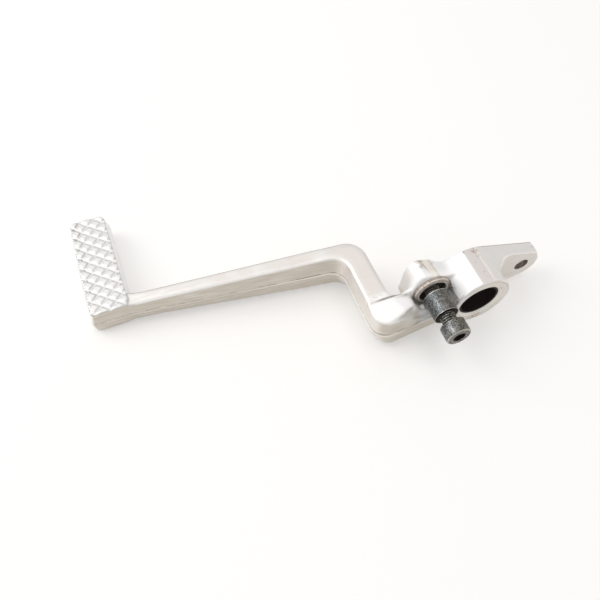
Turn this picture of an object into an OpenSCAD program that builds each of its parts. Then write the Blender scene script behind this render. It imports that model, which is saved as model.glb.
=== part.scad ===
// Rear brake pedal: a forged aluminium lever with a cross-cut tread, a tapered
// arm that steps sideways to the pivot boss, a pull-rod ear and a screw with a loose roller.
// The origin is the middle of the pivot bore. X runs from the tread to the ear, Y runs along
// the pivot axis, and Z is up, square to the parting plane.

/* [Pivot boss] */
// Outer diameter of the pivot boss
pivot_d = 34.4; // [32:0.1:38]
// Length of the pivot boss along its axis
pivot_len = 22.4; // [20:0.1:26]
// Diameter of the bore in the forging
bore_d = 22; // [18:0.1:24]
// Width of the chamfer at both mouths of the bore
bore_chamfer = 1.2; // [0.5:0.1:2]

/* [Pivot bush] */
// Wall of the lined bush in the bore
bush_wall = 1; // [0.8:0.1:2]

/* [Pull-rod ear] */
// Distance of the rod hole from the pivot axis along X
ear_x = 35.1; // [32:0.1:42]
// Height of the rod hole over the pivot axis
ear_z = -4.7; // [-7:0.1:-2]
// Diameter of the rod hole
ear_hole_d = 8; // [5:0.1:10]
// Radius of the ear's rounded end
ear_r = 10.3; // [8:0.1:12]
// Thickness of the ear along Y
ear_t = 7.7; // [5:0.1:11]
// Slope of the ear's top edge, in degrees
ear_slope = 21; // [15:0.5:25]
// Radius of the sweep from the ear into the boss, seen from above
ear_sweep_r = 17; // [10:0.5:20]
// Height of the flat land on top of the boss over its round
land_rise = 0.35; // [0.2:0.05:0.6]
// Width of the flat land on top of the boss
land_w = 7.6; // [5:0.1:9]

/* [Arm] */
// Distance from the pivot axis to the middle of the side step, along X
jog_x = 52; // [48:0.5:60]
// Width of the side step, at the parting line
jog_w = 14.6; // [11:0.1:18]
// Y of the arm's middle line where it meets the side step
arm_y = 36.8; // [32:0.1:46]
// Yaw of the arm from the X direction, in degrees
arm_yaw = 7.2; // [4:0.2:10]
// Width of the arm at the tread, at the parting line
arm_w_tread = 9.6; // [6:0.1:11]
// Width of the arm at the bend, at the parting line
arm_w_bend = 11; // [8:0.1:14]
// Height of the arm at the tread
arm_h_tread = 13.4; // [10:0.1:15]
// Height of the arm at the bend
arm_h_bend = 24; // [19:0.1:26]
// How far the walls lean in from the parting line to the top and the bottom
draft = 1.4; // [0.6:0.1:2]
// Height of the body's top over the pivot axis, at its near edge
body_h_near = 9; // [8:0.1:11]
// Height of the body's top over the pivot axis, at its far edge
body_h_far = 11.9; // [10:0.1:12.4]
// Depth of the body under the parting line
body_h_low = 11.6; // [9:0.1:12.4]
// How far the walls lean in under the parting line of the body
body_draft = 1; // [0.6:0.1:3]
// Radius of the rounded long edges
edge_r = 1.7; // [0.8:0.1:2.2]

/* [Tread] */
// Distance from the pivot axis to the middle of the tread, along X
tread_x = 177.8; // [165:0.1:190]
// Width of the tread along X, at its top
tread_w = 19.4; // [15:0.1:24]
// Length of the tread along Y, at its top
tread_l = 61; // [46:0.1:64]
// Height of the tread block
tread_h = 16; // [15.5:0.1:20]
// Radius of the tread block's upright corners
tread_r = 3.2; // [2:0.1:4]
// Width of one cross-cut diamond along X
diamond_x = 7.8; // [6:0.1:9]
// Length of one cross-cut diamond along Y
diamond_y = 7; // [5:0.1:9]
// Depth of the grooves between the diamonds
groove_depth = 0.9; // [0.5:0.1:1.3]

/* [Screw and roller] */
// Distance of the screw from the pivot axis along X, towards the tread
screw_x = 23.4; // [23:0.1:27]
// Height of the screw over the pivot axis
screw_z = 8; // [6:0.1:10]
// Thread diameter of the screw
screw_d = 8; // [6:0.1:8]
// Length of the screw under its head
screw_l = 32; // [30:0.5:36]
// Diameter of the screw's head
head_d = 13; // [12:0.1:15]
// Height of the screw's head
head_h = 8; // [6:0.1:9]
// Width across flats of the head's hexagon socket
socket_af = 6; // [4:0.1:6.5]
// Depth of the head's hexagon socket
socket_depth = 4; // [3:0.1:4.5]
// Outer diameter of the round lock nut
nut_d = 19.2; // [17:0.1:19.6]
// Thickness of the lock nut
nut_h = 2.6; // [2.2:0.1:4]
// Diameter of the hollow in the nut's near face
nut_hollow_d = 14.8; // [12:0.1:16]
// Depth of the hollow in the nut's near face
nut_hollow = 1.5; // [0.8:0.1:1.5]
// Outer diameter of the roller
roller_d = 13; // [12:0.1:15]
// Length of the roller
roller_l = 12.1; // [9:0.1:14]
// Gap between the lock nut and the roller as it lies
roller_gap = 2.7; // [0.8:0.1:5]
// Y of the boss face under the lock nut
seat_y = 1.4; // [0:0.1:3.5]
// Reach of the nut's seat in front of the boss face
seat_reach = 5; // [3:0.1:6]
// Outer radius of the screw's boss
screw_boss_r = 11.6; // [10.5:0.1:12.5]
// Height of the flat strip on the screw's boss over the screw
screw_flat = 10.1; // [9.4:0.1:10.6]
// Slope of the flat strip towards the pivot boss, in degrees
screw_flat_slope = 18; // [12:0.5:24]

/* [Hidden] */
$fn = 64;
// Radial play of the roller on the screw
roller_play = 0.08;
// Steps of every arc in the long loft
arc_n = 8;
pivot_r = pivot_d / 2;
half_len = pivot_len / 2;
bush_len = pivot_len - 2 * bore_chamfer;
nut_y = seat_y - nut_h;
roller_y = nut_y - roller_gap;
tip_y = 10.8;
head_y = tip_y - screw_l;
// Radii of the room round the nut, of its seat and of the room round the roller
nut_clear = nut_d / 2 + 0.8;
seat_r = nut_d / 2 + 1.7;
roller_clear = roller_d / 2 + 0.8;
// Height of the rounded rim of the nut
nut_round = 1.1;
// Reach of the screw's boss behind the pivot boss, and where its valley meets it, in degrees from the top
screw_boss_back = 1.8;
valley_turn = 31.5;
// Faces of the loft that ends inside the pivot boss
body_end_x = -13;
tread_half = tread_h / 2;
tread_near_y = 47.8;
tread_mid_y = tread_near_y + tread_l / 2;
// Place of the crossing of two grooves next to the tread's middle
groove_shift = [0.6, -1.8];
ear_back_y = half_len;
ear_front_y = ear_back_y - ear_t;

function unit(v) = v / norm(v);
function mix(a, b, t) = a + (b - a) * t;
function turn(a) = a > 180 ? a - 360 : a < -180 ? a + 360 : a;

// Arc that rounds the corner b between a and c
function corner(a, b, c, r) =
    let (u = unit(a - b), w = unit(c - b), half = acos(u * w) / 2,
         o = b + unit(u + w) * r / sin(half),
         s = b + u * r / tan(half), e = b + w * r / tan(half),
         a0 = atan2(s.y - o.y, s.x - o.x), da = turn(atan2(e.y - o.y, e.x - o.x) - a0))
    [for (i = [0:arc_n]) o + r * [cos(a0 + da * i / arc_n), sin(a0 + da * i / arc_n)]];

// Middle line of the arm at a given x
function arm_mid(x) = arm_y - (x + jog_x) * tan(arm_yaw);

// Parting outline of the arm, the side step and the body: the side nearest the viewer first
jog_l = -jog_x - jog_w / 2;
jog_r = -jog_x + jog_w / 2;
arm_x0 = -tread_x + tread_w / 2 - 3;
near_fillet = 8;
far_fillet = 11;
foot_near_r = 8.3;
foot_far_r = 4;
body_near_y = -12.5;
body_far_y = 3.6;
near_pad = [arm_x0, tread_near_y - draft];
near_bend = [jog_l, arm_mid(jog_l) - arm_w_bend / 2];
near_foot = [jog_l, body_near_y - 0.7];
near_end = [body_end_x, body_near_y + 3];
far_pad = [arm_x0, arm_mid(arm_x0) + arm_w_tread / 2];
far_bend = [jog_r, arm_mid(jog_r) + arm_w_bend / 2];
far_foot = [jog_r, body_far_y - 1];
far_end = [body_end_x, half_len - 1.5];
// Shares of the arm's length where it flares into the tread, and the flare of its far side and its underside
flare_at = [0, 0.03, 0.075, 0.15];
flare = [3.2, 1, 0, 0];
low_flare = [1.2, 0.8, 0.4, 0];
flare_n = len(flare);
body_n = 12;
near_line = concat([for (t = flare_at) mix(near_pad, near_bend, t)],
    corner(near_pad, near_bend, near_foot, near_fillet),
    corner(near_bend, near_foot, near_end, foot_near_r),
    [for (i = [1:body_n]) mix(near_foot + [foot_near_r, 0.6], near_end, i / body_n)]);
far_line = concat([for (i = [0:flare_n - 1]) mix(far_pad, far_bend, flare_at[i]) + [0, flare[i]]],
    corner(far_pad, far_bend, far_foot, far_fillet),
    corner(far_bend, far_foot, far_end, foot_far_r),
    [for (i = [1:body_n]) mix(far_foot + [foot_far_r, 1], far_end, i / body_n)]);
ring_n = len(near_line);
// First ring of the foot's corner
foot_i = flare_n + arc_n + 1;

// Extra lean under the parting line of the side step
step_lean = 2.6;
// Place of the small step over the foot, and the tilt of the foot's face under it
foot_step = [2, 11.4];
foot_tilt = 8;
// Drop of the near top edge from the foot to the nut, and reach of the slope over it
near_drop = 8;
slope_foot = 3.5;
slope_nut = 12;
// Fall of the body's top towards its near side
body_fall = 0.08;

// Share of the way from the arm's shape to the body's shape at ring i
function into_body(i) = min(1, max(0, (i - foot_i) / arc_n));
// Share of the side step's extra lean at ring i: in over the bend, out over the foot's corner
function step_share(i) = min(1, max(0, (i - flare_n) / arc_n)) * (1 - into_body(i) * into_body(i));
// Half the height of the arm at ring i
function arm_half(i) = i < flare_n ? mix(arm_h_tread, arm_h_bend, flare_at[i]) / 2 : arm_h_bend / 2;

// One wall from the parting line, leaning in by lean, to a rounded edge at height h
function wall(h, lean) =
    [[lean - 0.1, h - edge_r], [lean + 0.29 * edge_r, h - 0.29 * edge_r], [lean + edge_r, h]];

// Share of the way from the foot's corner to the nut at ring i, eased at both ends
function to_nut(i) = let (u = min(1, max(0, 1.9 * (i - foot_i - arc_n) / body_n))) u * u * (3 - 2 * u);

// Upright section between a near and a far parting point; its top rises from a near edge to a shoulder
function section(n, f, near_h, far_h, inset, fall, low_h, low_lean) =
    let (w = norm(f - n), d = unit(f - n), a = wall(near_h, draft), b = wall(far_h, draft),
         c = wall(low_h, low_lean), shoulder = [[inset, far_h - fall * (w - inset)]],
         top = concat([[0, 0]], a, shoulder, [for (j = [2:-1:0]) [w - b[j].x, b[j].y]], [[w, 0]]),
         low = concat([for (p = c) [w - p.x, -p.y]], [for (j = [2:-1:0]) [c[j].x, -c[j].y]]))
    [for (p = concat(top, low)) [n.x + d.x * p.x, n.y + d.y * p.x, p.y]];

function ring(i) =
    let (t = into_body(i), h = arm_half(i), k = to_nut(i), n = near_line[i], f = far_line[i])
    section(n, f, mix(h, body_h_near, t) - near_drop * k, mix(h, body_h_far, t),
        mix(norm(f - n) / 2, mix(slope_foot, slope_nut, k), t), mix(0.01, body_fall, min(1, 2 * t)),
        mix(h, body_h_low, t) + (i < flare_n ? low_flare[i] : 0),
        mix(draft, body_draft, t) + step_lean * step_share(i));

// Closed skin over a list of rings that all have the same number of points
module loft(rings) {
    m = len(rings[0]);
    n = len(rings);
    points = [for (r = rings) each r];
    walls = [for (i = [0:n - 2], j = [0:m - 1])
        let (a = i * m + j, b = i * m + (j + 1) % m)
        each [[a, b, b + m], [a, b + m, a + m]]];
    first = [for (j = [m - 1:-1:0]) j];
    last = [for (j = [0:m - 1]) (n - 1) * m + j];
    polyhedron(points, concat([first], walls, [last]));
}

// Rounded rectangle, centred, as points
function rounded(w, l, r) = [for (q = [0:3], i = [0:4])
    let (a = q * 90 + i * 22.5, sx = q == 0 || q == 3 ? 1 : -1, sy = q < 2 ? 1 : -1)
    [sx * (w / 2 - r) + r * cos(a), sy * (l / 2 - r) + r * sin(a)]];

// Levels of the tread block: height, growth of the outline and shift away from the arm
tread_levels = [[tread_half, 0, 0], [0.4, draft + 0.3, 0.4], [-0.4, draft + 0.3, 0.4],
    [1.8 - tread_half, 1, 0.3], [-tread_half, -0.4, 0]];

module tread_block() {
    translate([-tread_x, tread_mid_y, 0])
        loft([for (v = tread_levels)
            [for (p = rounded(tread_w + 2 * v[1], tread_l + 2 * v[1], tread_r + v[1] / 2))
                [p.x - v[2], p.y, v[0]]]]);
}

// V grooves that cross and leave rows of diamonds
module tread_grooves() {
    angle = atan2(diamond_y, diamond_x);
    pitch = diamond_x * sin(angle);
    count = ceil((tread_l * cos(angle) + tread_w * sin(angle)) / pitch / 2);
    reach = tread_l + tread_w;
    half = 1.3 * groove_depth;
    for (side = [-1, 1], i = [-count:count])
        translate([groove_shift.x - tread_x, tread_mid_y + groove_shift.y, tread_half])
            rotate([0, 0, side * angle])
                translate([0, i * pitch, 0])
                    rotate([90, 0, 90])
                        linear_extrude(reach, center = true)
                            polygon([[-half, 0.01], [0, -groove_depth], [half, 0.01]]);
}

// Plate of the ear seen along Y: the flat land, the sloping top edge and the rounded end
module ear_profile() {
    n = [sin(ear_slope), cos(ear_slope)];
    t = [cos(ear_slope), -sin(ear_slope)];
    land = pivot_r + land_rise;
    land_x = land_w * 0.65;
    back = acos(pivot_r / land) + asin((land_w - land_x) / land);
    polygon(concat([[0, 0], pivot_r * [-sin(back), cos(back)], [land_x - land_w, land], [land_x, land]],
        [[ear_x, ear_z] + n * ear_r + t * 4],
        [for (i = [0:10]) [ear_x, ear_z] + ear_r * [cos(15 - i * 11), sin(15 - i * 11)]],
        [[ear_x - 4, ear_z - ear_r - 0.8], [pivot_r * 0.5, -pivot_r * 0.85]]));
}

// The same ear seen from above: wide at the boss, swept in to a thin plate
module ear_plan() {
    c = [ear_x - 9, ear_front_y - ear_sweep_r];
    polygon(concat([[-land_w - 4, -half_len], [7.5, -half_len]],
        [for (i = [0:12]) c + ear_sweep_r * [cos(168 - i * 6.5), sin(168 - i * 6.5)]],
        [[ear_x + ear_r + 5, ear_front_y], [ear_x + ear_r + 5, ear_back_y], [-land_w - 4, ear_back_y]]));
}

module ear() {
    intersection() {
        translate([0, half_len, 0]) rotate([90, 0, 0]) linear_extrude(pivot_len) ear_profile();
        translate([0, 0, -pivot_r]) linear_extrude(2 * pivot_r + 2) ear_plan();
    }
}

// A cylinder along Y between two Y values
module rod(r, y0, y1) {
    translate([0, y1, 0]) rotate([90, 0, 0]) cylinder(r = r, h = y1 - y0);
}

module at_screw() {
    translate([-screw_x, 0, screw_z]) children();
}

// Boss of the screw seen along Y: round at the left, a sloping flat strip, a valley to the pivot boss
module screw_boss_profile() {
    n = [sin(screw_flat_slope), cos(screw_flat_slope)];
    t = [cos(screw_flat_slope), -sin(screw_flat_slope)];
    r = screw_boss_r;
    polygon(concat([[0, -r], [-r, -0.9 * r], [-0.97 * r, -0.4 * r], [-0.94 * r, 0.1 * r]],
        [[-0.91 * r, 0.35 * r], [-0.86 * r, 0.6 * r], [-0.77 * r, 0.8 * r], [-0.62 * r, 0.98 * r]],
        [n * screw_flat - t * 0.7 * r],
        [[0.38 * r, 0.75 * r], [0.65 * r, 0.62 * r], [0.85 * r, 0.545 * r], [1.05 * r, 0.53 * r]],
        [[screw_x, -screw_z] + pivot_r * [-sin(valley_turn), cos(valley_turn)]],
        [[screw_x - pivot_r, -screw_z], [3, -r]]));
}

// Space over the foot's face, from the small step to the near edge
module foot_face() {
    end = seat_r + screw_x;
    translate([0, foot_step[0], foot_step[1]]) rotate([foot_tilt, 0, 0])
        linear_extrude(6) polygon([[-72, -22], [-72, 0], [-46, 0], [-42, 10], [-end, 10], [-end, -22]]);
}

// The screw's boss seen from above: it stands out behind the pivot boss, up to the flat strip's end
module screw_boss_plan() {
    back = half_len + screw_boss_back;
    polygon([[-screw_x, seat_y], [-screw_x, back], [3, back], [6.5, half_len],
        [screw_x, half_len], [screw_x, seat_y]]);
}

module screw_boss() {
    intersection() {
        translate([0, half_len + screw_boss_back, 0]) rotate([90, 0, 0])
            linear_extrude(half_len + screw_boss_back - seat_y) screw_boss_profile();
        translate([0, 0, -2 * pivot_r]) linear_extrude(4 * pivot_r) screw_boss_plan();
    }
}

// Room for the nut and the roller, cut down into the body and the flank of the pivot boss
module screw_room() {
    rod(roller_clear, -half_len - 4, seat_y);
    intersection() {
        rod(seat_r, seat_y - seat_reach, seat_y);
        translate([-pivot_r, -pivot_r, -pivot_r]) cube([pivot_r + 0.01, 2 * pivot_r, 2 * pivot_r]);
    }
    intersection() {
        rod(nut_clear, -half_len - 4, seat_y);
        translate([0, -pivot_r, -pivot_r]) cube(2 * pivot_r);
    }
}

module pedal_lever() {
    color("silver") difference() {
        union() {
            difference() {
                loft([for (i = [0:ring_n - 1]) ring(i)]);
                foot_face();
            }
            difference() {
                tread_block();
                tread_grooves();
            }
            rod(pivot_r, -half_len, half_len);
            at_screw() screw_boss();
            ear();
        }
        at_screw() screw_room();
        at_screw() rod(screw_d / 2, seat_y - 1, half_len + screw_boss_back + 1);
        // Pivot bore with its two chamfers
        rod(bore_d / 2, -half_len - 1, half_len + 1);
        for (s = [0, 1]) mirror([0, s, 0]) translate([0, -half_len - 0.01, 0]) rotate([-90, 0, 0])
            cylinder(r1 = bore_d / 2 + bore_chamfer, r2 = bore_d / 2, h = bore_chamfer);
        // Rod hole in the ear
        translate([ear_x, 0, ear_z]) rod(ear_hole_d / 2, ear_front_y - 12, ear_back_y + 1);
    }
}

module pivot_bush() {
    color([0.12, 0.11, 0.1]) difference() {
        rod(bore_d / 2, -bush_len / 2, bush_len / 2);
        rod(bore_d / 2 - bush_wall, -bush_len / 2 - 1, bush_len / 2 + 1);
    }
}

// Round nut with a rounded rim and a hollow round the screw
module lock_nut() {
    r = nut_d / 2;
    hollow_r = nut_hollow_d / 2;
    web = nut_h - nut_hollow;
    color([0.5, 0.44, 0.4]) at_screw() translate([0, seat_y, 0]) rotate([90, 0, 0]) rotate_extrude()
        polygon([[screw_d / 2, 0], [r, 0], [r, nut_h - nut_round], [r - 0.25, nut_h - 0.45], [r - 0.9, nut_h],
            [hollow_r + 0.4, nut_h], [hollow_r, nut_h - 0.4], [hollow_r - 0.4, web], [screw_d / 2, web]]);
}

module roller() {
    color([0.3, 0.31, 0.32]) at_screw() difference() {
        rod(roller_d / 2, roller_y - roller_l, roller_y);
        rod(screw_d / 2 + roller_play, roller_y - roller_l - 1, roller_y + 1);
    }
}

module cap_screw() {
    color([0.28, 0.28, 0.29]) at_screw() difference() {
        union() {
            rod(screw_d / 2, head_y - 1, tip_y);
            rod(head_d / 2, head_y - head_h, head_y);
        }
        translate([0, head_y - head_h + socket_depth, 0]) rotate([90, 0, 0])
            cylinder(d = socket_af * 2 / sqrt(3), h = socket_depth + 1, $fn = 6);
    }
}

pedal_lever();
pivot_bush();
lock_nut();
roller();
cap_screw();
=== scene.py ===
import math
import bpy
import numpy as np
from mathutils import Matrix, Vector


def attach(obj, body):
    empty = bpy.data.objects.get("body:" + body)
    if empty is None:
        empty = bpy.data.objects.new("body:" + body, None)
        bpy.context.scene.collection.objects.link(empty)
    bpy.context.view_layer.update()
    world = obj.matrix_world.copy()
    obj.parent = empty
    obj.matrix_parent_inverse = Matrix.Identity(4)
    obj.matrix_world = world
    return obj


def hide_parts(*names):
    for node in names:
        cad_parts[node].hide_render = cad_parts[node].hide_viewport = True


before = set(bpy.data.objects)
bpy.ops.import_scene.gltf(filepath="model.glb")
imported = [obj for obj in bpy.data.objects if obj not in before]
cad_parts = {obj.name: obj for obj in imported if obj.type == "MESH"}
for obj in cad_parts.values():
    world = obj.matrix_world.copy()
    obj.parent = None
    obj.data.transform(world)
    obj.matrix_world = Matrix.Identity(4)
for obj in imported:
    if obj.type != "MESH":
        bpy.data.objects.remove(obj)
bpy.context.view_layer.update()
print("frame loaded")

mm = 0.001  # every length below is in millimetres

# Camera: the photograph's viewing angle, from the fitted perspective
view = {
    "place": (-151.26, -144.27, 288.93),
    "right": (0.93168, -0.36328, 0.0),
    "up": (0.30834, 0.79078, 0.52880),
    "back": (-0.19211, -0.49268, 0.84875),
    "lens": 39.61,
    "sensor": 36.0,
    "nearest": 10,
}


def makeCamera(v):
    data = bpy.data.cameras.new("photoCamera")
    data.lens = v["lens"]
    data.sensor_width = v["sensor"]
    data.clip_start = v["nearest"] * mm
    camera = bpy.data.objects.new("photoCamera", data)
    columns = Matrix((v["right"], v["up"], v["back"])).transposed().to_4x4()
    camera.matrix_world = Matrix.Translation(Vector(v["place"]) * mm) @ columns
    bpy.context.scene.collection.objects.link(camera)
    bpy.context.scene.camera = camera


makeCamera(view)
print("camera set")

# Lines along the pivot's direction, each as x and z
axes = {"fromPivot": (0.0, 0.0), "fromScrew": (-23.4, 8.0), "fromRod": (35.1, -4.7)}


# One shader value: Python's operators add the Math nodes
class Value:
    def __init__(self, maker, socket):
        self.maker = maker
        self.socket = socket

    def math(self, kind, *others):
        return self.maker.add("Math", {"operation": kind}, dict(enumerate((self,) + others)))

    def __add__(self, other):
        return self.math("ADD", other)

    def __radd__(self, other):
        return self.math("ADD", other)

    def __sub__(self, other):
        return self.math("SUBTRACT", other)

    def __rsub__(self, other):
        return self.maker.add("Math", {"operation": "SUBTRACT"}, {0: other, 1: self})

    def __mul__(self, other):
        return self.math("MULTIPLY", other)

    def __rmul__(self, other):
        return self.math("MULTIPLY", other)

    def __abs__(self):
        return self.math("ABSOLUTE")


# Adds nodes to one material: type, settings first, then the sockets
class Maker:
    def __init__(self, name):
        self.material = bpy.data.materials.new(name)
        self.material.use_nodes = True
        self.tree = self.material.node_tree
        self.tree.nodes.clear()
        metres = self.add("TexCoord", {}, {}, out="Object")
        self.place = self.add("VectorMath", {"operation": "SCALE"}, {0: metres, "Scale": 1 / mm})
        self.fields = {}  # what a zone can be limited by

    # The place in mm, and the way the surface faces
    def readPlace(self):
        facing = self.add("NewGeometry", {}, {}, out="Normal")
        self.fields.update(zip(("x", "y", "z"), self.xyz(self.place)))
        self.fields.update(zip(("right", "far", "up"), self.xyz(facing)))

    def add(self, kind, settings, sockets, out=0):
        node = self.tree.nodes.new("ShaderNode" + kind)
        for name, value in settings.items():
            setattr(node, name, value)
        for key, value in sockets.items():
            socket = self.pick(node.inputs, key)
            if isinstance(value, Value):
                self.tree.links.new(value.socket, socket)
            elif isinstance(value, tuple) and len(value) == 3 and len(socket.default_value) == 4:
                socket.default_value = value + (1.0,)
            else:
                socket.default_value = value
        return Value(self, self.pick(node.outputs, out)) if len(node.outputs) else None

    def pick(self, row, key):
        if isinstance(key, int):
            return row[key]
        return next(s for s in row if s.name == key and s.enabled)

    def xyz(self, vector):
        split = self.add("SeparateXYZ", {}, {0: vector})
        return [Value(self, socket) for socket in split.socket.node.outputs]

    def noise(self, size, detail, rough, stretch=(1, 1, 1)):
        at = self.add("VectorMath", {"operation": "MULTIPLY"}, {0: self.place, 1: stretch})
        return self.add("TexNoise", {"noise_dimensions": "3D"},
                        {"Vector": at, "Scale": 1 / size, "Detail": detail, "Roughness": rough})

    # From 0 at the first limit to 1 at the second, whichever of them is higher
    def ease(self, value, none, full):
        return self.add("MapRange", {"interpolation_type": "SMOOTHSTEP"},
                        {"Value": value, "From Min": none, "From Max": full, "To Min": 0.0, "To Max": 1.0})

    # Product of limits: each says where the zone is none and full, and maybe where it is full and none again
    def zone(self, limits):
        parts = []
        for name, row in limits.items():
            parts.append(self.ease(self.fields[name], row[0], row[1]))
            if len(row) == 4:
                parts.append(self.ease(self.fields[name], row[3], row[2]))
        return math.prod(parts[1:], start=parts[0])

    def mix(self, share, a, b):
        return self.add("Mix", {"data_type": "RGBA"}, {"Factor": share, "A": a, "B": b}, out="Result")

    def distance(self, place, centre):
        return self.add("VectorMath", {"operation": "DISTANCE"}, {0: place, 1: centre}, out="Value")

    def fromAxis(self, x, z):
        flat = self.add("VectorMath", {"operation": "MULTIPLY"}, {0: self.place, 1: (1, 0, 1)})
        return self.distance(flat, (x, 0, z))

    def bump(self, height, strength, distance):
        return self.add("Bump", {}, {"Strength": strength, "Distance": distance * mm, "Height": height})

    def finish(self, sockets):
        surface = self.add("BsdfPrincipled", {}, sockets)
        self.add("OutputMaterial", {}, {"Surface": surface})
        return self.material


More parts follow.
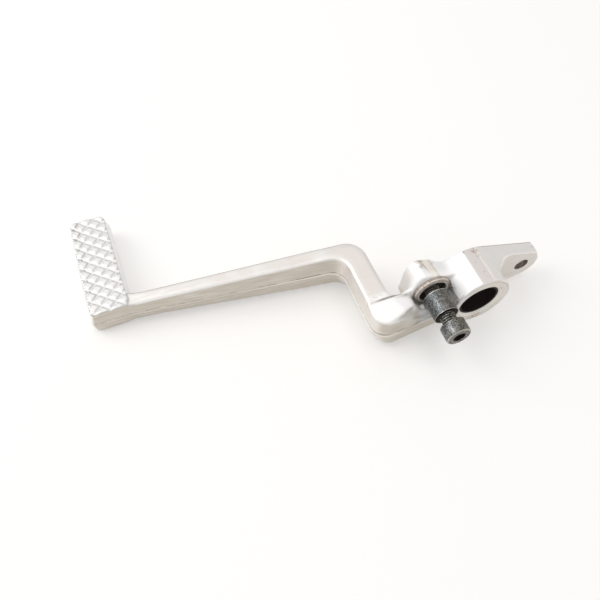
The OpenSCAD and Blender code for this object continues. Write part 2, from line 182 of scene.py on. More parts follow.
# The forging: a fine grid over the CAD solid, worked a little
forging = {
    "voxel": 0.42,
    "triangles": 180000,
    # Points that stay firm at bores, seats, the small step and the tread's top, each with its share
    "firm": [
        ({"fromPivot": (15.0, 12.6)}, 1.0), ({"fromRod": (6.5, 4.6)}, 1.0), ({"fromScrew": (6.0, 4.5)}, 1.0),
        ({"fromScrew": (12.4, 11.2), "y": (-6.5, -4.5, 1.8, 3.0)}, 1.0),
        ({"x": (-62, -58, -36, -33), "y": (0.1, 1.5, 3.1, 4.5), "z": (8.5, 10.0)}, 0.85),
        ({"x": (-164, -167), "z": (5.0, 6.6)}, 1.0),
    ],
    "freeLeast": 0.04,
    "soften": 9,
    "softenBend": 30,
    "bend": {"x": (-76, -64, -50, -42), "y": (-4, 6)},
    # The body's top falls to the nut under two lines, each with its x, height and slope
    "dip": {"x": (-47, -44, -30, -28), "y": (-11.5, -8.0, 0.9, 1.5)},
    "dipLines": [(-45.0, 11.2, -0.28), (-36.0, 8.6, -1.2)],
    "dipLeast": 3.5,
    # Right of the nut the body falls in a slope instead of a wall
    "fall": {"x": (-18, -16.5, -7.5, -7), "y": (-11.4, -10.4, -6.0, 1.2)},
    "fallFrom": -7.0,
    "fallCurve": (15.7, -0.5, -0.12),
    # The tread narrows a little to its far end
    "narrow": {"x": (-180, -186.5), "y": (65, 108)},
    "narrowBy": 1.0,
    # Near edges of the top that catch the light
    "glint": {"x": (-168, -164, -40, -36), "z": (2, 4), "up": (0.2, 0.45, 0.86, 0.95), "near": (0.08, 0.25),
              "sharpUp": (0.35, 0.65)},
    "glintWay": (-0.45, -0.9),
    "glintRounds": 6,
    "glintBendRounds": 16,
    "glintSoften": 0.3,
    "edgeRounds": 3,
    "side": (0.8, 0.5),
    "flashHeight": 0.28,
    "flashWidth": (0.55, 0.11),  # none and full, from the parting plane
    "flashEnd": {"x": (-18, -22)},
    "flashMore": {"x": (-78, -68)},
    "flashMoreBy": 0.6,
    # Its finish: matt aluminium with a flash line, stains and worn edges, and painted light and shade over it
    "base": (0.82, 0.785, 0.745),
    "pale": (0.86, 0.84, 0.815),
    "white": (0.95, 0.945, 0.935),
    "treadTop": (0.80, 0.795, 0.782),
    "blush": (0.75, 0.695, 0.66),
    "caret": (0.45, 0.445, 0.44),
    "pink": (0.82, 0.755, 0.725),
    "dark": (0.56, 0.51, 0.43),
    "land": (0.71, 0.665, 0.64),
    "tan": (0.90, 0.845, 0.765),
    "brown": (0.50, 0.40, 0.29),
    "line": (0.26, 0.235, 0.21),
    "stain": (0.34, 0.24, 0.16),
    "soot": (0.16, 0.15, 0.14),
    "cream": (0.90, 0.86, 0.78),
    "bright": (0.98, 0.965, 0.93),
    # Size, detail, roughness and stretch of each noise
    "noises": {
        "grain": (0.35, 4.0, 0.65), "blotch": (9.0, 4.0, 0.55), "streak": (1.1, 4.0, 0.6, (0.06, 0.25, 1.6)),
        "grind": (1.3, 4.0, 0.65, (0.05, 0.9, 0.6)), "spots": (1.6, 5.0, 0.7), "flush": (14.0, 2.0, 0.5),
        "dash": (2.2, 3.0, 0.6, (0.5, 1, 1)),
    },
    # Slanted lines on the top, as shares of x and y and an offset: the white's end, and the tan strip's sides
    "lines": {"border": (-0.48, 1.0, -12.38), "tanLeft": (1.0, 0.235, 23.9), "tanRight": (1.0, 0.13, 19.0)},
    "zones": {
        # Patches over everything
        "blotches": {"blotch": (0.35, 0.68)},
        "flushes": {"flush": (0.42, 0.62)},
        "ground": {"grind": (0.5, 0.75)},
        # The parts of the body
        "screwBoss": {"x": (-38, -34), "y": (0.5, 3)},
        "leftPart": {"x": (-15, -23)},
        # Forged walls darker than the blasted top, and painted shade: darkest on walls facing the near side and
        # underneath
        "wall": {"level": (0.86, 0.45)},
        "footWall": {"x": (-52, -40), "z": (1, 4)},
        "nearWall": {"far": (-0.5, -0.9)},
        "low": {"z": (0.4, -0.8)},
        "under": {"up": (-0.25, -0.6)},
        # The foot's face, the saddle and the left round of the screw's boss are polished, and painted white as
        # painted light
        "foot": {"x": (-66, -60), "y": (2.2, 1.0), "up": (0.6, 0.85), "border": (-0.9, 0.7)},
        # Below the slanted border the dip gets painted shade, and above it painted light in white
        "shaded": {"x": (-46, -42, -28, -26), "y": (2.0, 1.0), "up": (0.45, 0.75), "border": (0.7, -0.9)},
        "dip": {"x": (-46, -42, -28, -26), "y": (2.0, 1.0), "up": (0.45, 0.75), "border": (-0.9, 0.7)},
        "saddle": {"x": (-36, -30, -2.6, -2.1), "up": (0.15, 0.5)},
        "bossLeft": {"x": (-27, -29), "right": (-0.1, -0.4)},
        # Painted light: white round the nut's seat and in the trough right of it, over the shade there
        "seat": {"fromScrew": (15.5, 12.5), "y": (6.5, 3.5), "z": (4, 7)},
        "trough": {"x": (-23, -19, -10, -7), "y": (1.4, 0.6), "z": (1, 3)},
        "stepTop": {"x": (-68, -62, -44, -40), "y": (3, 6), "up": (0.85, 0.97), "blotch": (0.3, 0.55)},
        "earTop": {"x": (4.6, 6), "up": (0.5, 0.8)},
        # Tread: painted shade on the groove sides turned away from the light and on its long top edges, and painted
        # light in white on its side walls
        "tread": {"x": (-167.6, -168.6), "up": (0.4, 0.7)},
        "treadSide": {"x": (-160, -164), "aside": (0.5, 0.8)},
        "treadGroove": {"unlit": (0.12, 0.45), "z": (6, 7)},
        "treadEdge": {"aside": (0.3, 0.55, 0.8, 0.95), "z": (5.5, 6.5)},
        "treadOuter": {"x": (-181, -183)},
        "treadInner": {"x": (-171, -169, -166, -164)},
        # Flat strip on the pivot's barrel, with a painted highlight in cream along its edge towards the ear
        "land": {"x": (-2.5, -2.2, 4.0, 4.6), "up": (0.6, 0.85)},
        "landEdge": {"x": (3.5, 3.95, 4.25, 4.7), "up": (0.6, 0.85), "spots": (0.3, 0.5)},
        # Tan strip on the screw's boss, browner along its sides
        "tanStrip": {"tanLeft": (-0.4, 0.3), "tanRight": (0.4, -0.4), "y": (1.4, 2.2), "up": (0.5, 0.8)},
        "tanBlotch": {"blotch": (0.35, 0.6)},
        "tanSideLeft": {"tanLeft": (-0.6, 0.0, 0.6, 1.2), "y": (3, 7)},
        "tanSideRight": {"tanRight": (-1.5, -0.9, -0.3, 0.3)},
        "tanSpots": {"spots": (0.3, 0.5)},
        # Painted shade on the near faces of the ear and the pivot's barrel
        "earFace": {"x": (15, 18), "far": (-0.7, -0.95)},
        "bossFace": {"x": (-24, -18, 14, 16), "far": (-0.8, -0.95)},
        # Small step over the foot: a painted shadow line in its corner, with a bright pitted patch beside it
        "corner": {"x": (-56, -50, -40.5, -39), "y": (1.4, 1.85, 2.35, 2.8), "z": (9, 10)},
        "patch": {"x": (-60, -55, -47, -43), "y": (2.2, 2.8, 4, 8), "z": (9, 10), "spots": (0.38, 0.55)},
        # Painted shade: darker far rounded edges, and a dark line along the ear's far top edge
        "rimArm": {"x": (-30, -45), "far": (0.35, 0.6, 0.8, 0.97), "up": (0.1, 0.4)},
        "rimEar": {"x": (5, 9), "far": (0.06, 0.25, 0.85, 0.97)},
        "earLine": {"x": (4, 8), "y": (10.4, 10.9), "up": (0.1, 0.5)},
        # Flash line: a thin ridge with a painted highlight in cream, and a dark broken line over it
        "flashSide": {"x": (-40, -48)},
        "ridge": {"z": (-0.55, -0.3, 0.4, 0.65)},
        "ridgeMore": {"x": (-125, -85)},
        "gap": {"z": (0.53, 0.83, 1.07, 1.37)},
        "gapMore": {"x": (-110, -90)},
        "dashMore": {"x": (-84, -74)},
        # Painted highlight on the edges, with some rubbing; painted shade with a little grime in the corners; a
        # painted highlight at the ear's sweep
        "rubbed": {"edge": (0.08, 0.26)},
        "grime": {"edge": (-0.10, -0.30), "x": (18, 15)},
        "sweep": {"x": (15, 18), "far": (-0.12, -0.35, -0.88, -0.98)},
        # Bore's mouth: a painted highlight on the chamfer and a fine line near the face's border
        "mouth": {"y": (-9.6, -10.4), "fromPivot": (12.6, 12.0)},
        "mouthLine": {"y": (-9.6, -10.4), "fromPivot": (15.65, 15.9, 16.1, 16.35)},
        # Rod hole: darker and mottled inside
        "rodHole": {"fromRod": (4.25, 3.9)},
        "rodSoot": {"fromRod": (4.25, 3.9), "spots": (0.38, 0.55)},
        "spotted": {"spots": (0.40, 0.60)},
    },
    # Zone, colour and share of each coat, from the first to the last
    "coats": [
        ("blotches", "pale", 1.0), ("flushes", "pink", 0.5), ("ground", "dark", 0.35), ("shade", "dark", 1.0),
        ("shaded", "dark", 0.6), ("stepTop", "blush", 0.55), ("earTop", "pale", 0.7), ("foot", "white", 1.0),
        ("saddle", "white", 1.0), ("bossLeft", "white", 0.8), ("seat", "white", 1.0), ("trough", "white", 1.0),
        ("dip", "white", 1.0), ("treadSide", "white", 0.85), ("tread", "treadTop", 1.0),
        ("treadGroove", "caret", 0.27), ("treadEdge", "line", 0.5), ("land", "land", 1.0),
        ("landEdge", "cream", 0.8), ("tanShare", "tan", 1.0), ("tanSides", "brown", 0.6), ("earFace", "dark", 0.22),
        ("bossFace", "dark", 0.3), ("patch", "white", 0.9), ("corner", "line", 0.85), ("rim", "line", 0.8),
        ("earLine", "line", 0.55), ("under", "line", 0.6), ("gapShare", "soot", 1.0), ("ridgeShare", "cream", 1.0),
    ],
    "lateCoats": [
        ("rubbed", "bright", 0.85), ("grime", "dark", 0.45), ("sweep", "bright", 0.9), ("mouth", "cream", 0.8),
        ("mouthLine", "line", 0.4), ("glint", "bright", 0.9), ("rodHole", "stain", 0.8), ("rodSoot", "soot", 0.9),
    ],
    # Stained spots, and dark spots of soot and of painted shadow: centre, radius and depth
    "stains": [((-27.0, 12.5, 18.6), 3.4, 0.95), ((-27.2, 8.5, 18.6), 2.6, 0.9), ((-20.2, 10.0, 18.2), 2.4, 0.5),
               ((3.3, 8.6, 17.2), 2.6, 0.8), ((3.6, 5.2, 17.2), 1.6, 0.6), ((-20.5, 1.2, 18.0), 1.8, 0.9),
               ((-12.6, -11.2, -3.0), 4.0, 0.7), ((0.0, -11.2, -13.6), 5.0, 0.7),
               ((10.0, -10.8, 6.4), 2.2, 0.5)],
    # The first two dark spots are the roller's painted shadow on the body right of it
    "soots": [((-14.2, -2.4, 7.0), 5.5, 0.85), ((-15.0, -8.5, 5.5), 4.5, 0.8), ((-21.0, 1.5, 18.4), 1.3, 0.8),
              ((42.0, 7.0, 4.5), 1.8, 0.7), ((44.9, 7.0, 0.0), 2.2, 0.7), ((44.2, 6.0, -9.0), 1.6, 0.5),
              ((-2.3, 9.5, 17.2), 0.9, 0.7), ((0.4, 2.0, 17.4), 0.7, 0.6), ((1.6, -4.5, 17.4), 0.8, 0.6)],
    # Rows of pits on the tread, each painted dark as the shade in it: first pit's x and y, radius and the row's
    # ends
    "pits": [(-184.9, 62.2, 1.0, (60.2, 61.2, 106.2, 107.2)), (-169.3, 60.5, 0.7, (58.5, 59.5, 83.5, 84.5))],
    "pitStep": 7.0,
    "pitTop": (5, 6),  # pits lie on the top alone
    "pitShare": 0.6,
    "spotCore": 0.35,  # share of the radius at full depth
    "pitCore": 0.3,
    "away": (0.6, -0.8),  # the way that the greyer groove sides face
    "wallShade": 0.76,  # raise it for darker walls
    "streakShade": 2.0,
    "lowShade": 0.02,
    "footWallLess": 0.15,
    "farWall": 0.12,
    "treadInnerEdge": 0.6,
    "tanLeast": 0.6,
    "tanRightSide": 0.5,
    "rimEarShare": 0.8,
    "dash": (0.46, 0.56, 0.08),  # none, full, and more towards the foot
    "gapShare": (0.45, 0.35),  # least, and more towards the foot
    "ridgeShare": (0.3, 0.6),
    "rough": {"least": 0.36, "grain": 0.16, "blotch": 0.08},
    "metal": {"most": 0.6, "whiteLess": 0.5, "footLess": 0.25},
    "relief": {"grain": 0.35, "spots": 0.3, "ridge": 4.0, "streak": 0.6},
    "bump": (0.35, 0.25),
}


# What the zones of the forging are limited by
def addFields(m, f):
    m.readPlace()
    fields = m.fields
    fields["level"] = abs(fields["up"])
    fields["aside"] = abs(fields["right"])
    fields["unlit"] = fields["right"] * f["away"][0] + fields["far"] * f["away"][1]
    for name, row in f["noises"].items():
        fields[name] = m.noise(*row)
    for name, (alongX, alongY, offset) in f["lines"].items():
        fields[name] = fields["x"] * alongX + fields["y"] * alongY + offset
    for name, place in axes.items():
        fields[name] = m.fromAxis(*place)
    marks = m.add("Attribute", {"attribute_name": "marks"}, {}, out="Vector")
    fields.update(zip(("edge", "glint", "side"), m.xyz(marks)))


# Zones that depend on each other
def joinZones(m, f, zone):
    fields = m.fields
    body = zone["leftPart"] * (1 - zone["screwBoss"])
    # Painted shade: walls darkest where they face the near side
    nearWall = f["farWall"] + (1 - f["farWall"]) * zone["nearWall"]
    zone["wall"] = zone["wall"] * body * (1 - f["footWallLess"] * zone["footWall"]) * nearWall
    zone["shade"] = zone["wall"] * (f["wallShade"] + (fields["streak"] - 0.5) * f["streakShade"]) \
        + zone["low"] * zone["wall"] * f["lowShade"]
    zone["foot"] = zone["foot"] * body
    zone["under"] = zone["under"] * body
    zone["bossLeft"] = zone["bossLeft"] * zone["screwBoss"]
    zone["seat"] = zone["seat"] * (1 - zone["shaded"])
    zone["treadGroove"] = zone["treadGroove"] * zone["tread"]
    zone["treadEdge"] = zone["treadEdge"] * (zone["treadOuter"] + f["treadInnerEdge"] * zone["treadInner"])
    zone["tanShare"] = zone["tanStrip"] * (f["tanLeast"] + (1 - f["tanLeast"]) * zone["tanBlotch"])
    tanSides = zone["tanSideLeft"] + f["tanRightSide"] * zone["tanSideRight"]
    zone["tanSides"] = zone["tanStrip"] * tanSides * zone["tanSpots"]
    zone["rim"] = zone["rimArm"] + f["rimEarShare"] * zone["rimEar"]
    zone["rubbed"] = zone["rubbed"] * (1 - zone["rim"])
    zone["grime"] = zone["grime"] * (1 - zone["seat"])
    zone["glint"] = fields["glint"]
    # The flash line's ridge and the gap over it
    side = fields["side"] * body * (1 - zone["treadSide"]) * zone["flashSide"]
    none, full, more = f["dash"]
    dashes = m.ease(fields["dash"] + more * zone["dashMore"], none, full)
    zone["ridge"] = zone["ridge"] * side
    zone["gap"] = zone["gap"] * side * dashes
    for name in ("gap", "ridge"):
        least, more = f[name + "Share"]
        zone[name + "Share"] = zone[name] * (least + more * zone[name + "More"])


def addSpots(m, f, colour, zone):
    for tint, spots in (("stain", f["stains"]), ("soot", f["soots"])):
        for centre, radius, depth in spots:
            away = m.distance(m.place, centre) + (m.fields["spots"] - 0.5) * radius
            share = m.ease(away, radius, f["spotCore"] * radius) * zone["spotted"] * depth
            colour = m.mix(share, colour, f[tint])
    for x, y, radius, ends in f["pits"]:
        along = m.add("Math", {"operation": "PINGPONG"}, {0: m.fields["y"] - y, 1: f["pitStep"] / 2})
        away = m.distance(m.add("CombineXYZ", {}, {"X": m.fields["x"], "Y": along}), (x, 0, 0))
        share = m.ease(away, radius, f["pitCore"] * radius) * m.zone({"y": ends, "z": f["pitTop"]})
        colour = m.mix(share * f["pitShare"], colour, f["line"])
    return colour


def forgingMaterial(f):
    m = Maker("forgedAluminium")
    addFields(m, f)
    zone = {name: m.zone(limits) for name, limits in f["zones"].items()}
    joinZones(m, f, zone)
    colour = f["base"]
    for name, tint, share in f["coats"]:
        colour = m.mix(zone[name] * share, colour, f[tint])
    colour = addSpots(m, f, colour, zone)
    for name, tint, share in f["lateCoats"]:
        colour = m.mix(zone[name] * share, colour, f[tint])
    grain, blotch, spots, streak = [m.fields[name] for name in ("grain", "blotch", "spots", "streak")]
    rough = f["rough"]["least"] + grain * f["rough"]["grain"] + blotch * f["rough"]["blotch"]
    relief = f["relief"]
    height = grain * relief["grain"] + spots * relief["spots"] + zone["ridge"] * relief["ridge"] \
        + streak * zone["wall"] * relief["streak"]
    metal = f["metal"]
    whites = (zone["trough"] + zone["dip"] + zone["seat"] + zone["treadSide"]).math("MINIMUM", 1.0)
    metallic = metal["most"] - metal["whiteLess"] * whites - metal["footLess"] * zone["foot"] * (1 - zone["dip"])
    return m.finish({"Base Color": colour, "Metallic": metallic, "Roughness": rough,
                     "Normal": m.bump(height, *f["bump"])})


def bodyMesh(node, voxel):
    copy = node.copy()
    copy.data = node.data.copy()
    bpy.context.scene.collection.objects.link(copy)
    grid = copy.modifiers.new("grid", "REMESH")
    grid.mode = "VOXEL"
    grid.voxel_size = voxel * mm
    grid.adaptivity = 0.0
    bpy.context.view_layer.update()
    mesh = bpy.data.meshes.new_from_object(copy.evaluated_get(bpy.context.evaluated_depsgraph_get()))
    bpy.data.objects.remove(copy)
    return mesh


def readPoints(mesh):
    points = np.zeros(len(mesh.vertices) * 3)
    mesh.vertices.foreach_get("co", points)
    return points.reshape(-1, 3)


def readNormals(mesh, points):
    mesh.vertices.foreach_set("co", points.ravel())
    mesh.update()
    normals = np.zeros(len(mesh.vertices) * 3, np.float32)
    mesh.vertex_normals.foreach_get("vector", normals)
    return normals.reshape(-1, 3).astype(float)


def readFields(points):
    x, y, z = (points / mm).T
    fields = {"x": x, "y": y, "z": z}
    for name, (alongX, alongZ) in axes.items():
        fields[name] = np.hypot(x - alongX, z - alongZ)
    return fields


def step(value, none, full):
    t = np.clip((value - none) / (full - none), 0, 1)
    return t * t * (3 - 2 * t)


# The same limits as in the materials, for points
def pointZone(fields, limits):
    share = 1.0
    for name, row in limits.items():
        share = share * step(fields[name], row[0], row[1])
        if len(row) == 4:
            share = share * step(fields[name], row[3], row[2])
    return share


# Moves each point, or other row of values, towards its neighbours' mean
def relax(mesh, points, weight, rounds):
    ends = np.zeros(len(mesh.edges) * 2, int)
    mesh.edges.foreach_get("vertices", ends)
    a, b = ends.reshape(-1, 2).T
    n = len(points)
    degree = np.bincount(a, minlength=n) + np.bincount(b, minlength=n)
    for turn in range(rounds):
        mean = np.stack([np.bincount(a, points[b, k], n) + np.bincount(b, points[a, k], n) for k in range(3)], 1)
        points = points + (mean / degree[:, None] - points) * weight[:, None] * 0.5  # half way
    return points


# How freely each point may soften
def softness(points, f):
    fields = readFields(points)
    free = 1.0
    for limits, share in f["firm"]:
        free = free * (1 - share * pointZone(fields, limits))
    return np.maximum(free, f["freeLeast"])


# How far each point stands out from its neighbours: edges above zero, corners under it
def sharpness(mesh, points, f):
    normals = readNormals(mesh, points)
    flat = relax(mesh, points, np.ones(len(points)), f["edgeRounds"])
    return ((points - flat) * normals).sum(1) / (f["voxel"] * mm)


def sculpt(points, f):
    fields = readFields(points)
    x, y, z = fields["x"], fields["y"], fields["z"]
    ceiling = np.min([height + slope * (x - at) for at, height, slope in f["dipLines"]], axis=0)
    ceiling = np.maximum(ceiling, f["dipLeast"])
    dip = pointZone(fields, f["dip"])
    z = np.where((dip > 0) & (z > ceiling), z + (ceiling - z) * dip, z)
    run = np.maximum(f["fallFrom"] - x, 0.0)
    top, slope, curve = f["fallCurve"]
    ceiling = top + slope * run + curve * run * run
    fall = pointZone(fields, f["fall"])
    z = np.where((fall > 0) & (z > ceiling), z + (ceiling - z) * fall, z)
    x = x + f["narrowBy"] * pointZone(fields, f["narrow"])
    return np.stack([x, y, z], 1) * mm


# A narrow band on the arm and a wide one on the bend and the step
def nearEdge(mesh, points, bend, f):
    normals = readNormals(mesh, points)
    narrow = relax(mesh, normals, np.ones(len(points)), f["glintRounds"])
    wide = relax(mesh, narrow, bend, f["glintBendRounds"])
    nx, ny, nz = (wide / np.linalg.norm(wide, axis=1)[:, None]).T
    fields = readFields(points)
    fields.update({"up": nz, "near": f["glintWay"][0] * nx + f["glintWay"][1] * ny, "sharpUp": normals[:, 2]})
    return pointZone(fields, f["glint"])


# A thin ridge round the walls at the parting plane
def flash(points, normals, side, f):
    fields = readFields(points)
    reach = pointZone(fields, f["flashEnd"]) * step(abs(fields["z"]), *f["flashWidth"])
    more = 1 + f["flashMoreBy"] * pointZone(fields, f["flashMore"])
    return points + normals * (f["flashHeight"] * mm * side * reach * more)[:, None] * (1, 1, 0)


def makeForging(f):
    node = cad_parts["pedal_lever"]
    mesh = bodyMesh(node, f["voxel"])
    points = sculpt(readPoints(mesh), f)
    edge = sharpness(mesh, points, f)
    points = relax(mesh, points, softness(points, f), f["soften"])
    bend = pointZone(readFields(points), f["bend"])
    glint = nearEdge(mesh, points, bend, f)
    weight = softness(points, f) * np.maximum(bend, f["glintSoften"] * glint)
    points = relax(mesh, points, weight, f["softenBend"])
    normals = readNormals(mesh, points)
    side = step(abs(normals[:, 2]), *f["side"])
    points = flash(points, normals, side, f)
    mesh.vertices.foreach_set("co", points.ravel())
    layer = mesh.attributes.new("marks", "FLOAT_VECTOR", "POINT")
    layer.data.foreach_set("vector", np.stack([edge, glint, side], 1).astype(np.float32).ravel())
    mesh.name = "leverForging"
    piece = bpy.data.objects.new("lever_forging", mesh)
    bpy.context.scene.collection.objects.link(piece)
    mesh.materials.clear()
    mesh.materials.append(forgingMaterial(f))
    mesh.shade_smooth()
    thin = piece.modifiers.new("thin", "DECIMATE")
    thin.ratio = min(1.0, f["triangles"] / (2 * len(mesh.polygons)))
    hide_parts("pedal_lever")
    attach(piece, "pedal")
    print("forging made,", len(mesh.polygons), "faces")


makeForging(forging)

# Steel pieces and the bush keep their CAD meshes; each rim is a circle round the screw: y, radius, width, share
steel = {
    "lock_nut": {"colour": (0.31, 0.26, 0.22), "cool": (0.70, 0.62, 0.55), "warm": (0.66, 0.56, 0.46),
                 "edge": (1.0, 0.97, 0.93), "rough": 0.42, "metal": 0.5, "hollow": (7.4, 6.9), "thread": False,
                 "rims": [(-1.2, 7.85, 0.6, 1.0), (-0.4, 9.6, 0.5, 0.6)]},
    "roller": {"colour": (0.050, 0.051, 0.049), "cool": (0.30, 0.325, 0.335), "warm": (0.30, 0.275, 0.235),
               "edge": (0.72, 0.70, 0.64), "rough": 0.33, "metal": 0.85, "hollow": (6.35, 6.0), "thread": False,
               "rims": [(-3.9, 6.5, 0.4, 0.8), (-16.0, 6.45, 0.35, 0.6)]},
    "cap_screw": {"colour": (0.050, 0.048, 0.044), "cool": (0.36, 0.37, 0.375), "warm": (0.33, 0.305, 0.26),
                  "edge": (0.66, 0.63, 0.56), "rough": 0.33, "metal": 0.85, "hollow": (3.5, 3.1), "thread": True,
                  "rims": [(-21.2, 6.5, 0.5, 0.7), (-28.9, 6.2, 0.7, 0.75)]},
}

# Wear, painted shade and painted highlights that all the steel pieces share
steelWearAndLight = {
    "noises": {"speck": (0.55, 4.0, 0.7), "worn": (3.0, 4.0, 0.6)},
    "warmSide": (-0.6, 0.2),
    "warmWorn": 0.8,
    "specks": (0.58, 0.80),
    "speckWorn": 0.35,
    "speckShare": 0.85,
    "rubbed": (0.65, 0.95),
    "rubbedCore": 0.3,
    "grime": (0.014, 0.011, 0.009),
    "grimeShare": 0.95,
    "socket": {"y": (-24.5, -29.5)},
    "threadShadeGrime": {"fromScrew": (4.2, 4.02), "y": (-25, -24)},
    "threadShadeGrimeShare": 0.5,
    "crest": {"fromScrew": (3.85, 3.98, 4.02, 4.1), "speck": (0.42, 0.60)},
    "crestShare": 0.7,
    "rough": {"speck": 0.2, "share": -0.1, "grime": 0.3},
    "relief": {"speck": 0.6, "worn": 0.4},
    "bump": (0.5, 0.15),
}


def steelMaterial(name, w):
    s = steel[name]
    m = Maker(name + "Steel")
    m.readPlace()
    m.fields["fromScrew"] = away = m.fromAxis(*axes["fromScrew"])
    for noise, row in w["noises"].items():
        m.fields[noise] = m.noise(*row)
    speck, worn, y = m.fields["speck"], m.fields["worn"], m.fields["y"]
    # Specks tinted cool on left-facing sides and warm on right-facing ones: a painted reflection
    pale = m.mix(m.ease(m.fields["right"] + (worn - 0.5) * w["warmWorn"], *w["warmSide"]), s["cool"], s["warm"])
    share = m.ease(speck + worn * w["speckWorn"], *w["specks"])
    colour = m.mix(share * w["speckShare"], s["colour"], pale)
    # Rims: painted highlights on them, broken up like rubbed metal
    for at, radius, width, level in s["rims"]:
        off = abs(y - at) + abs(away - radius)
        rubbed = m.ease(off, width, w["rubbedCore"] * width) * m.ease(speck + worn, *w["rubbed"])
        colour = m.mix(rubbed * level, colour, s["edge"])
    # Painted shade with some grime in the hollows, the socket and the thread's roots
    grime = m.ease(away, *s["hollow"])
    if s["thread"]:
        grime = grime * m.zone(w["socket"]) + w["threadShadeGrimeShare"] * m.zone(w["threadShadeGrime"])
    colour = m.mix(grime * w["grimeShare"], colour, w["grime"])
    # Painted highlights in specks on the thread's crests
    if s["thread"]:
        colour = m.mix(m.zone(w["crest"]) * w["crestShare"], colour, s["edge"])
    rough = w["rough"]
    roughness = s["rough"] + speck * rough["speck"] + share * rough["share"] + grime * rough["grime"]
    height = speck * w["relief"]["speck"] + worn * w["relief"]["worn"]
    return m.finish({"Base Color": colour, "Metallic": s["metal"], "Roughness": roughness,
                     "Normal": m.bump(height, *w["bump"])})


fineEdge = {"width": 0.3, "segments": 2, "angle": 35}


def dress(node, material, e):
    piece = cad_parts[node]
    piece.data.materials.clear()
    piece.data.materials.append(material)
    bevel = piece.modifiers.new("edges", "BEVEL")
    bevel.width = e["width"] * mm
    bevel.segments = e["segments"]
    bevel.limit_method = "ANGLE"
    bevel.angle_limit = math.radians(e["angle"])
    bevel.harden_normals = True


for name in ("lock_nut", "roller"):
    dress(name, steelMaterial(name, steelWearAndLight), fineEdge)
print("steel pieces dressed")

# Cap screw: the same lengths as its CAD node, with the thread and the rounded head as geometry
screw = {
    "sides": 60,
    "tip": (10.8, 3.3),
    "threadTop": 10.4,
    "neck": -20.6,
    "layer": 0.2,
    "pitch": 1.25,
    "depth": 0.6,
    "flank": 1.15,
    "crest": 4.0,
    "head": [(-20.7, 4.0), (-21.2, 4.0), (-21.2, 5.9), (-21.32, 6.25), (-21.6, 6.5), (-28.2, 6.5), (-28.6, 6.4),
             (-28.95, 6.15), (-29.14, 5.85), (-29.2, 5.5)],
    "socket": 3.0,
    # Rings of the socket: y, growth and share of the hexagon
    "socketRings": [(-29.2, 0.35, 1.0), (-28.9, 0.0, 1.0), (-25.2, 0.0, 0.99)],
    "socketEnd": -24.5,
    "sharp": 38,
}


def screwRings(s, angle):
    hexagon = s["socket"] / np.cos(np.mod(angle, math.pi / 3) - math.pi / 6)
    y, radius = s["tip"]
    rings = [(y, 0 * angle + radius)]
    for y in np.arange(s["threadTop"], s["neck"], -s["layer"]):
        turn = np.mod(y / s["pitch"] - angle / (2 * math.pi), 1.0)
        rings.append((y, s["crest"] - s["depth"] * np.clip(s["flank"] - abs(4 * turn - 2), 0, 1)))
    rings += [(y, 0 * angle + radius) for y, radius in s["head"]]
    rings += [(y, hexagon * share + growth) for y, growth, share in s["socketRings"]]
    return rings


def makeScrew(s):
    n = s["sides"]
    angle = np.arange(n) * 2 * math.pi / n
    rings = screwRings(s, angle)
    cx, cz = axes["fromScrew"]
    points = [(cx + r[i] * math.cos(a), y, cz + r[i] * math.sin(a)) for y, r in rings for i, a in enumerate(angle)]
    faces = [(k * n + i, k * n + (i + 1) % n, (k + 1) * n + (i + 1) % n, (k + 1) * n + i)
             for k in range(len(rings) - 1) for i in range(n)]
    # Both ends close in a fan round a middle point
    last = (len(rings) - 1) * n
    points += [(cx, s["tip"][0], cz), (cx, s["socketEnd"], cz)]
    faces += [(len(points) - 2, (i + 1) % n, i) for i in range(n)]
    faces += [(len(points) - 1, last + i, last + (i + 1) % n) for i in range(n)]
    mesh = bpy.data.meshes.new("capScrew")
    mesh.from_pydata([tuple(c * mm for c in p) for p in points], [], faces)
    mesh.materials.append(steelMaterial("cap_screw", steelWearAndLight))
    mesh.shade_smooth()
    mesh.set_sharp_from_angle(angle=math.radians(s["sharp"]))
    piece = bpy.data.objects.new("screw_threaded", mesh)
    bpy.context.scene.collection.objects.link(piece)
    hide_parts("cap_screw")
    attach(piece, "pedal")


makeScrew(screw)
print("screw made")

# Bush: a dark dry lining
bush = {
    "colour": (0.010, 0.0050, 0.0040),
    "pale": (0.034, 0.016, 0.011),
    "noise": (0.7, 4.0, 0.6),
    "specks": (0.45, 0.75),
    "rough": (0.5, 0.2),
    "shine": 0.25,
    "bump": (0.2, 0.1),
}


def bushMaterial(b):
    m = Maker("bushLining")
    speck = m.noise(*b["noise"])
    colour = m.mix(m.ease(speck, *b["specks"]), b["colour"], b["pale"])
    least, more = b["rough"]
    return m.finish({"Base Color": colour, "Roughness": least + speck * more, "Specular IOR Level": b["shine"],
                     "Normal": m.bump(speck, *b["bump"])})


dress("pivot_bush", bushMaterial(bush), fineEdge)
print("bush dressed")

# Floor under the boss and the tread, plain light from the upper left
studio = {
    "floorPoint": (0.0, 0.0, -17.2),
    "floorTilt": 2.9,
    "floorHalf": 3000,
    "floor": (0.975, 0.964, 0.944),
    "floorRough": 0.9,
    "floorShine": 0.1,
    "glow": (1.0, 0.985, 0.965),
    "glowShare": 0.38,
    "world": (0.99, 0.985, 0.99),
    "worldLevel": 0.66,
    "aim": (-75, 25, 0),
    "lamps": {
        "keyLamp": {"from": (-1000, 520, 1000), "size": 1000, "power": 9.6, "colour": (1.0, 0.995, 0.985)},
        "topLamp": {"from": (230, 560, 1200), "size": 800, "power": 1.0, "colour": (1.0, 0.99, 0.98)},
        "nearLamp": {"from": (277, -88, 1296), "size": 450, "power": 1.8, "colour": (1.0, 0.99, 0.96)},
    },
}


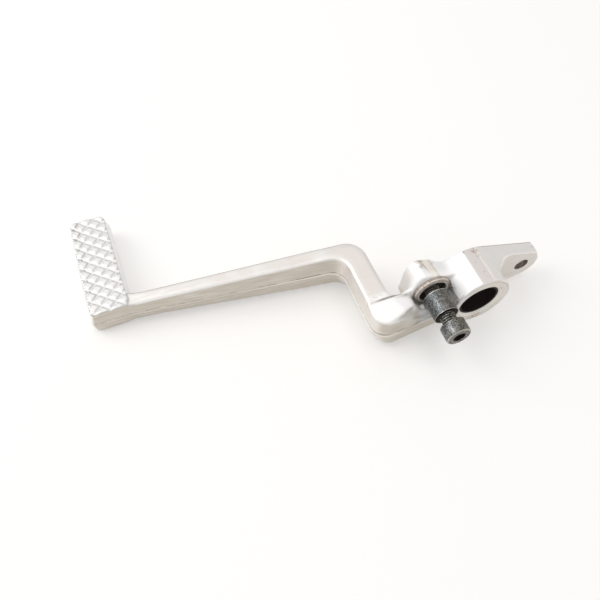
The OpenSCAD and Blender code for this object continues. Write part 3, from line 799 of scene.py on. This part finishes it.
def makeLamp(name, lamp, target):
    data = bpy.data.lights.new(name, "AREA")
    data.shape = "SQUARE"
    data.size = lamp["size"] * mm
    data.energy = lamp["power"]
    data.color = lamp["colour"]
    piece = bpy.data.objects.new(name, data)
    place = Vector(lamp["from"]) * mm
    aim = (Vector(target) * mm - place).to_track_quat("-Z", "Y")
    piece.matrix_world = Matrix.Translation(place) @ aim.to_matrix().to_4x4()
    bpy.context.scene.collection.objects.link(piece)


# Pale to the camera and in reflections, and still taking the shadow
def floorMaterial(s):
    m = Maker("paleFloor")
    base = m.add("BsdfPrincipled", {}, {"Base Color": s["floor"], "Roughness": s["floorRough"],
                                        "Specular IOR Level": s["floorShine"]})
    glow = m.add("Emission", {}, {"Color": s["glow"], "Strength": 1.0})
    rays = m.add("LightPath", {}, {}).socket.node.outputs
    camera, glossy, through = [Value(m, rays[name]) for name in
                               ("Is Camera Ray", "Is Glossy Ray", "Is Transmission Ray")]
    share = (camera + glossy + through) * s["glowShare"]
    m.add("OutputMaterial", {}, {"Surface": m.add("MixShader", {}, {0: share, 1: base, 2: glow})})
    return m.material


def makeFloor(s):
    half = s["floorHalf"] * mm
    mesh = bpy.data.meshes.new("floor")
    corners = [(-half, -half, 0), (half, -half, 0), (half, half, 0), (-half, half, 0)]
    mesh.from_pydata(corners, [], [(0, 1, 2, 3)])
    mesh.materials.append(floorMaterial(s))
    floor = bpy.data.objects.new("floor", mesh)
    tilt = Matrix.Rotation(math.radians(s["floorTilt"]), 4, "Y")
    floor.matrix_world = Matrix.Translation(Vector(s["floorPoint"]) * mm) @ tilt
    bpy.context.scene.collection.objects.link(floor)


def makeStudio(s):
    makeFloor(s)
    for name, lamp in s["lamps"].items():
        makeLamp(name, lamp, s["aim"])
    world = bpy.data.worlds.new("studio")
    world.use_nodes = True
    sky = world.node_tree.nodes["Background"]
    sky.inputs["Color"].default_value = s["world"] + (1.0,)
    sky.inputs["Strength"].default_value = s["worldLevel"]
    bpy.context.scene.world = world
    bpy.context.scene.view_settings.view_transform = "Standard"


makeStudio(studio)
print("studio lit")
